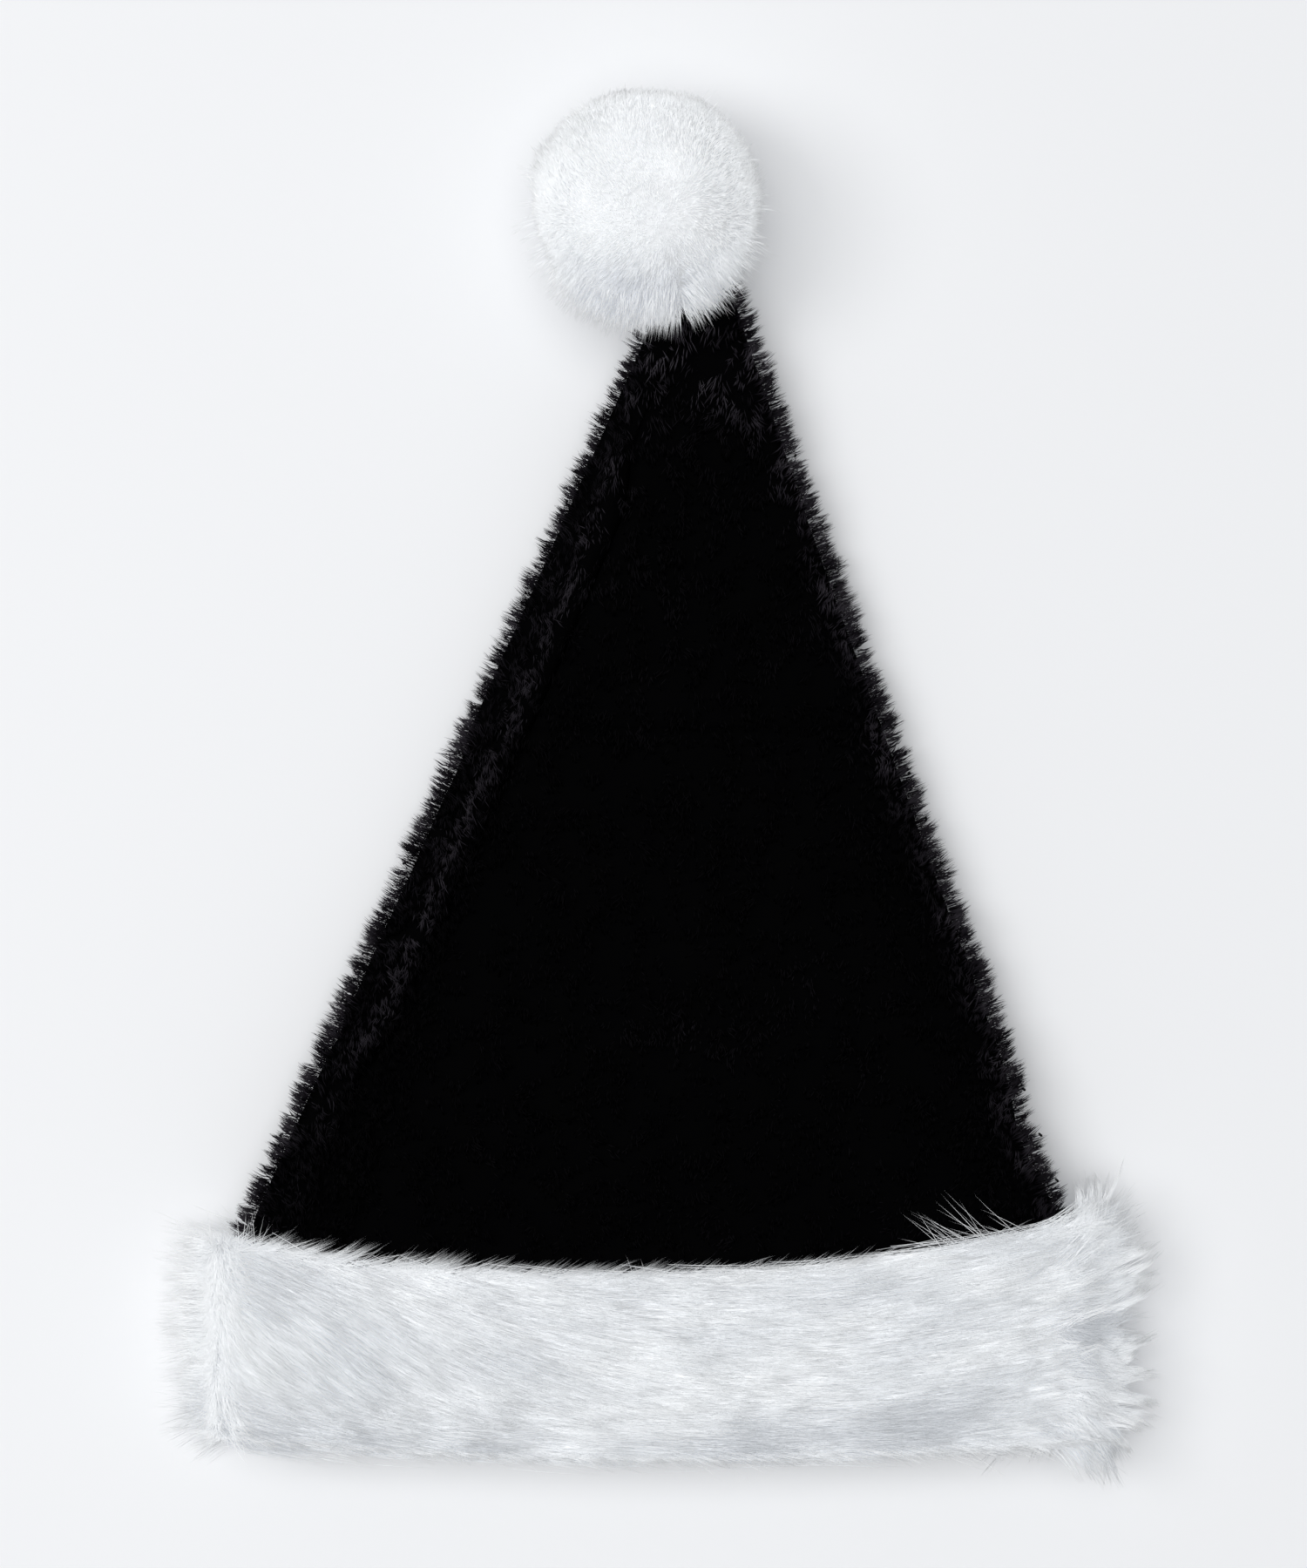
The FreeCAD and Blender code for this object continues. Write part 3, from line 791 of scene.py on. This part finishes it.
def crown_edges(y):
    """left, right, low and high of the crown's surface at y."""
    share = (y - CROWN_START) / (SHOULDER - CROWN_START)
    share = np.maximum(share, -0.1)
    left = LEFT_START + (LEFT_END - LEFT_START) * share
    right = RIGHT_START + (RIGHT_END - RIGHT_START) * share
    right = right - 3.5 * MM * hump(y, CROWN_START + 20 * MM, 16 * MM)
    below = smoothstep(y, CROWN_START - 4 * MM, CROWN_START - 20 * MM)
    left = left + 4 * MM * below
    right = right - 4 * MM * below
    return left, right, np.interp(y, STOPS, LOWS), np.interp(y, STOPS, HIGHS)


def seam_inset(y):
    """How far the front seam lies inside the left edge."""
    rise = smoothstep(y, CROWN_START + 18 * MM, CROWN_START + 60 * MM)
    fall = smoothstep(y, SHOULDER - 10 * MM, SHOULDER - 60 * MM)
    return 17 * MM * rise * fall


def seam_turn(y):
    left, right, low, high = crown_edges(y)
    radius = (high - low) / 2
    way = math.pi / 2 * radius + np.maximum(seam_inset(y) - radius, 0)
    return way / girth(left, right, low, high)


def relief(turn, y):
    """The seam's groove and ridge on the front, and soft creases across the crown."""
    left, right, low, high = crown_edges(y)
    turn = (turn + 0.25) % 1 - 0.25
    beside = (turn - seam_turn(y)) * girth(left, right, low, high)
    shown = smoothstep(seam_inset(y), 4 * MM, 14 * MM)
    seam = 2.2 * hump(beside, -6 * MM, 4 * MM) - 2.6 * hump(beside, 0.5 * MM, 2.6 * MM)
    seam = seam + 0.8 * hump(beside, 8 * MM, 5 * MM)
    front = (turn > 0) & (turn < 0.5)
    x = stadium(turn, left, right, low, high)[0]
    creases = 0
    for middle, slope, width, height in CREASES:
        creases = creases + height * hump(y + slope * x, middle, width)
    return (seam * shown + creases * front) * MM


def on_crown(turn, y, depth):
    left, right, low, high = crown_edges(y)
    thin = np.minimum(depth, (high - low) / 2 - 3.5 * MM)
    x, z, normal, walk = stadium(turn, left + thin, right - thin, low + thin, high - thin)
    point = np.stack([x, y, z], -1) + normal * relief(turn, y)[:, None]
    return point, normal, walk


# %% Cut and lay the four panels
SKIN_WALL = 1.4 * MM
BACK_EDGE = 0.515


def panel(name, side, start, end, nodes):
    """One length of the front or back panel, from y = start to y = end."""
    def place(across, along):
        y = start + (end - start) * along
        seam = seam_turn(y)
        if side == "front":
            turn = seam + across * (BACK_EDGE - seam)
        else:
            turn = BACK_EDGE + across * (1 + seam - BACK_EDGE)
        return on_crown(turn, y, PILE_HEIGHT)[0]

    skin = cloth(name, 70, 44, place, SKIN_WALL, plush_backing)
    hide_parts(*nodes)
    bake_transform(skin)
    return skin


LOWER_BODIES = ("hat_base", "crown_middle")
UPPER_BODIES = ("crown_middle", "crown_tip")
HEM_END = CROWN_START - 30 * MM
for side in ("front", "back"):
    panel(f"crown_{side}_panel_low", side, HEM_END, MIDWAY,
          [f"crown_{side}_lower", f"crown_{side}_middle"])
    panel(f"crown_{side}_panel_high", side, MIDWAY, SKIN_TOP,
          [f"crown_{side}_tip"])


# %% Raise the pile
PILE_STRANDS = 7
FACE_LOCKS = 4200
EDGE_LOCKS = 3700
CONE_TAPER = 0.85            # how much of its width the cone loses up to its tip
PILE_BELOW = 16 * MM         # how far down behind the brim the pile goes
MOST_STRANDS = 18000         # in one piece


def pile_locks(turn, y, seed, spread, gather, width):
    """Short clumps that stand up from the cloth and lean towards the hat's tip. Beside the
    seam, at both edges and towards the tip the pile is painted lighter: painted highlights
    where the nap turns. Elsewhere it is dark with random mottling."""
    root, normal, walk = on_crown(turn, y, PILE_HEIGHT - 0.3 * MM)
    left, right, low, high = crown_edges(y)
    wander = ripple(root, 8 * MM, seed) * 0.7 + rng.normal(0, 0.35, len(root))
    upward = np.array([0.0, 1.0, 0.0])
    flow = upward * np.cos(wander)[:, None] + walk * np.sin(wander)[:, None]
    lift = (1.5 + rng.random(len(root)))[:, None]
    run = unit(flow + normal * lift)
    length = (5.9 + 2.1 * rng.random(len(root)) + 1.8 * ripple(root, 4 * MM, seed + 2)) * MM
    tip = root + run * length[:, None]
    bend = root + unit(flow * 0.2 + normal) * length[:, None] * 0.5
    wrapped = (turn + 0.25) % 1 - 0.25
    beside = (wrapped - seam_turn(y)) * girth(left, right, low, high)
    shown = smoothstep(seam_inset(y), 4 * MM, 14 * MM)
    # Painted highlights: the ridge beside the seam, the band left of it, a band by the right
    # edge, both edges and the cone near its tip are painted lighter.
    ridge = hump(beside, -6.5 * MM, 4.5 * MM) * shown
    band = smoothstep(beside, 3 * MM, -3 * MM) * smoothstep(wrapped, -0.02, 0.01)
    right_highlight = smoothstep(right - root[:, 0], 20 * MM, 8 * MM) * (normal[:, 2] > 0)
    fringe_highlight = smoothstep(np.abs(normal[:, 0]), 0.3, 0.95)
    cloud = 0.5 + 0.6 * ripple(root, 8 * MM, seed + 4)
    patch = smoothstep(ripple(root, 30 * MM, seed + 5), 0.1, 0.7)
    shade = 0.06 + 0.12 * cloud + 0.38 * patch * cloud
    tip_highlight = smoothstep(y, SHOULDER - 55 * MM, SHOULDER - 5 * MM) * (0.4 + 0.6 * cloud)
    painted_highlights = [0.5 * band, 0.95 * right_highlight, 1.0 * fringe_highlight, 1.5 * tip_highlight]
    shade = np.maximum(shade, np.maximum.reduce(painted_highlights) * (0.25 + 1.0 * cloud))
    shade = np.maximum(shade, ridge * (0.66 + 0.3 * cloud))
    return locks(root, bend, tip, normal, shade, PILE_STRANDS, spread, gather, width)


def along_crown(count):
    """Heights up the cone, with fewer where the cone is narrower."""
    fall = 1 - (1 - CONE_TAPER) ** 2
    share = (1 - np.sqrt(1 - rng.random(count) * fall)) / CONE_TAPER
    return CROWN_START - PILE_BELOW + share * (SKIN_TOP - CROWN_START + PILE_BELOW)


left_turn = -0.025 + 0.095 * rng.random(EDGE_LOCKS)
right_turn = 0.5 + rng.normal(-0.008, 0.022, EDGE_LOCKS)
edge_turn = np.where(rng.random(EDGE_LOCKS) < 0.58, left_turn, right_turn)
edge_y = along_crown(EDGE_LOCKS)
face_y = along_crown(FACE_LOCKS)
pile = joined(
    pile_locks(rng.random(FACE_LOCKS), face_y, 11, 1.7 * MM, 0.4, 0.75 * MM),
    pile_locks(edge_turn, edge_y, 11, 0.95 * MM, 0.85, 0.42 * MM),
)
pile_y = np.concatenate([face_y, edge_y])
strand_y = np.repeat(pile_y, PILE_STRANDS)
for name, bodies, fold, kept in (
    ("crown_pile_low", LOWER_BODIES, LOWER_FOLD, strand_y < MIDWAY),
    ("crown_pile_high", UPPER_BODIES, UPPER_FOLD, strand_y >= MIDWAY),
):
    order = np.flatnonzero(kept)
    parts = np.array_split(order, math.ceil(len(order) / MOST_STRANDS))
    for number, part in enumerate(parts, 1):
        piece = comb(f"{name}_{number}", **some(pile, part), rings=ONE_RING, blunt=0.9)
        piece.data.materials.append(black_pile)
        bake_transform(piece)


# %% [markdown]
# ## The pompom
# A pompom is fur gathered into a ball round a core of fibre. Its hair stands straight
# out, so it gets its smooth outline from hair that is all trimmed to one length.

# %% The ball under the fur
ball_centre = (ball_low + ball_high) / 2
BALL_RADIUS = (ball_high.z - ball_low.z) / 2
CORE_RADIUS = 34.4 * MM
to_knot = (Vector((knot_low + knot_high) / 2) - ball_centre).normalized()


def ball(name, radius, dent, finish, seed):
    """A ball with soft dents all over, and a hollow where the tie's knot sits."""
    bm = bmesh.new()
    bmesh.ops.create_icosphere(bm, subdivisions=5, radius=radius)
    for vert in bm.verts:
        out = vert.co.normalized()
        vert.co += out * dent * noise.noise(vert.co / (14 * MM) + Vector((seed, 0, 0)))
        vert.co -= out * 7 * MM * float(hump(1 - out.dot(to_knot), 0, 0.03))
    bmesh.ops.translate(bm, verts=bm.verts, vec=ball_centre)
    for face in bm.faces:
        face.smooth = True
    mesh = bpy.data.meshes.new(name)
    bm.to_mesh(mesh)
    bm.free()
    mesh.materials.append(finish)
    piece = bpy.data.objects.new(name, mesh)
    bpy.context.collection.objects.link(piece)
    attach(piece, "pompom")
    return piece


cover = ball("pompom_backing", CORE_RADIUS, 0.8 * MM, fur_backing, 1)
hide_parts("pompom_cover")
fill = ball("pompom_fill", CORE_RADIUS - 2.5 * MM, 0.6 * MM, stuffing, 5)
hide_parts("pompom_stuffing")


# %% Stand the pompom's hair on end
POMPOM_LOCKS = 4300
POMPOM_STRANDS = 9
PARTING = 0.3                # where the hair parts below, as a share of the radius


def pompom_locks():
    """Hair all round the ball, in a spiral of even steps. It parts below, where the
    pompom is tied to the hat."""
    step = np.arange(POMPOM_LOCKS) + 0.5
    height = 1 - 2 * step / POMPOM_LOCKS
    angle = step * math.pi * (3 - math.sqrt(5))
    flat = np.sqrt(1 - height ** 2)
    out = np.stack([flat * np.cos(angle), flat * np.sin(angle), height], -1)
    out = unit(out + rng.normal(0, 0.02, out.shape))
    root = np.array(ball_centre) + out * (CORE_RADIUS - 1.2 * MM)
    lean = np.stack([ripple(root, 22 * MM, s) for s in (21, 22, 23)], -1) * 0.8
    lean[:, 1] -= 0.18 * smoothstep(-out[:, 1], -0.2, 0.9)
    lean[:, 1] += 0.5 * smoothstep(out[:, 1], -0.45, 0.25)
    parting = out[:, 0] - PARTING
    away = np.sign(parting) * hump(parting, 0, 0.2) * smoothstep(-out[:, 1], 0.45, 0.8)
    lean[:, 0] += 0.7 * away
    lean = lean - (lean * out).sum(1, keepdims=True) * out
    reach = BALL_RADIUS - CORE_RADIUS + 1.2 * MM + 1.1 * MM * ripple(root, 12 * MM, 25)
    reach = reach + 1.6 * MM * ripple(root, 34 * MM, 26) + 0.7 * MM * rng.normal(0, 1, len(out))
    hanging = smoothstep(-out[:, 1], 0.35, 0.8) * smoothstep(out[:, 2], -0.6, 0.0)
    reach = reach + 6 * MM * hanging * (1 - hump(parting, 0, 0.12)) * rng.random(len(out))
    run = unit(out + lean)
    tip = root + run * reach[:, None] / (run * out).sum(1, keepdims=True)
    bend = root + (out * 0.7 + run * 0.3) * reach[:, None] * 0.5
    # Painted shade: the hair grows darker and bluer towards the pompom's foot, the side away
    # from the light.
    below = smoothstep(-out[:, 1], 0.3, 1.15)
    shade = 0.9 + (0.08 + 0.3 * below) * ripple(root, 7 * MM, 27) - 0.85 * below
    return locks(root, bend, tip, out, shade, POMPOM_STRANDS, 1.2 * MM, 0.0, 0.3 * MM,
                 fray=0.14, ragged=0.22)


def hanging_hairs(count):
    """Longer single hairs at the foot of the pompom, which lie over the hat's tip."""
    angle = rng.normal(0, 0.6, count)
    height = -0.15 + 0.75 * rng.random(count)
    out = np.stack([np.sin(angle) * np.sqrt(1 - height ** 2),
                    -np.cos(angle) * np.sqrt(1 - height ** 2), height], -1)
    root = np.array(ball_centre) + out * CORE_RADIUS
    parting = out[:, 0] - PARTING
    lean = np.stack([0.35 * np.sign(parting) * hump(parting, 0, 0.3),
                     np.full(count, -0.15), np.full(count, -0.1)], -1)
    run = unit(out + lean + rng.normal(0, 0.14, out.shape))
    length = (7.5 + 6 * rng.random((count, 1))) * MM
    tip = root + run * length
    bend = (root + tip) / 2 + rng.normal(0, 0.5 * MM, out.shape)
    return locks(root, bend, tip, out, np.full(count, 0.75), 2, 0.6 * MM, 0.3, 0.24 * MM)


hair = joined(pompom_locks(), hanging_hairs(900))
for number, part in enumerate(np.array_split(np.arange(len(hair["root"])), 3), 1):
    piece = comb(f"pompom_fur_{number}", **some(hair, part), rings=(0.6,), blunt=0.45)
    piece.data.materials.append(pompom_fur)
    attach(piece, "pompom")


# %% [markdown]
# ## Threads
# The seams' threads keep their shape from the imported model, and get a twisted finish.

# %% Dress the threads
for node, finish in {
    "brim_seam_thread": white_thread, "brim_joining_thread": white_thread,
    "pompom_tie": white_thread, "pompom_knot": white_thread,
    "pompom_gather_thread": white_thread, "neck_binding_thread": black_thread,
    "side_seam_thread_lower": black_thread, "side_seam_thread_middle": black_thread,
    "side_seam_thread_tip": black_thread,
}.items():
    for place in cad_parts[node].material_slots:
        place.material = finish


# %% [markdown]
# ## Table, light and camera
# The table is nearly white. A wide, soft sun shines from almost straight overhead, a round
# lamp stands at the left, and a pale surrounding fills the shadows. The camera looks
# straight down.

# %% The table
bm = bmesh.new()
bmesh.ops.create_grid(bm, x_segments=1, y_segments=1, size=30)
table_mesh = bpy.data.meshes.new("table")
bm.to_mesh(table_mesh)
bm.free()
table = bpy.data.objects.new("table", table_mesh)
bpy.context.collection.objects.link(table)
table_finish, _, table_shader = new_material("table_finish")
table_shader.inputs["Base Color"].default_value = (0.86, 0.868, 0.885, 1)
table_shader.inputs["Roughness"].default_value = 0.6
table_mesh.materials.append(table_finish)
print("table", table_mesh.name, "at z = 0")


# %% The lights
def soft_light(name, place, size, power):
    data = bpy.data.lights.new(name, "AREA")
    data.shape = "DISK"
    data.size = size
    data.energy = power
    light = bpy.data.objects.new(name, data)
    light.location = place
    light.rotation_euler = (-Vector(place)).to_track_quat("-Z", "Y").to_euler()
    bpy.context.collection.objects.link(light)


overhead_data = bpy.data.lights.new("overhead", "SUN")
overhead_data.energy = 1.58
overhead_data.angle = math.radians(48)
overhead = bpy.data.objects.new("overhead", overhead_data)
overhead.rotation_euler = (math.radians(-2), math.radians(-5), 0)
bpy.context.collection.objects.link(overhead)
soft_light("left", (-1.9, 0.25, 2.6), 1.5, 27)
surround = bpy.data.worlds.new("surround")
surround.use_nodes = True
surround.node_tree.nodes["Background"].inputs["Color"].default_value = (0.97, 0.985, 1, 1)
surround.node_tree.nodes["Background"].inputs["Strength"].default_value = 0.3
bpy.context.scene.world = surround
bpy.context.scene.view_settings.view_transform = "Standard"
print("lights", [light.name for light in bpy.data.lights])


# %% The camera
CAMERA_HEIGHT = 1.7
FRAME_HEIGHT = 0.5184
camera_data = bpy.data.cameras.new("camera")
camera_data.lens = camera_data.sensor_width * CAMERA_HEIGHT / FRAME_HEIGHT
camera = bpy.data.objects.new("camera", camera_data)
camera.location = (-1.4 * MM, -2.9 * MM, CAMERA_HEIGHT + brim_high.z * 0.6)
bpy.context.collection.objects.link(camera)
bpy.context.scene.camera = camera
print("camera stands", round(camera.location.z, 3), "m above the table")
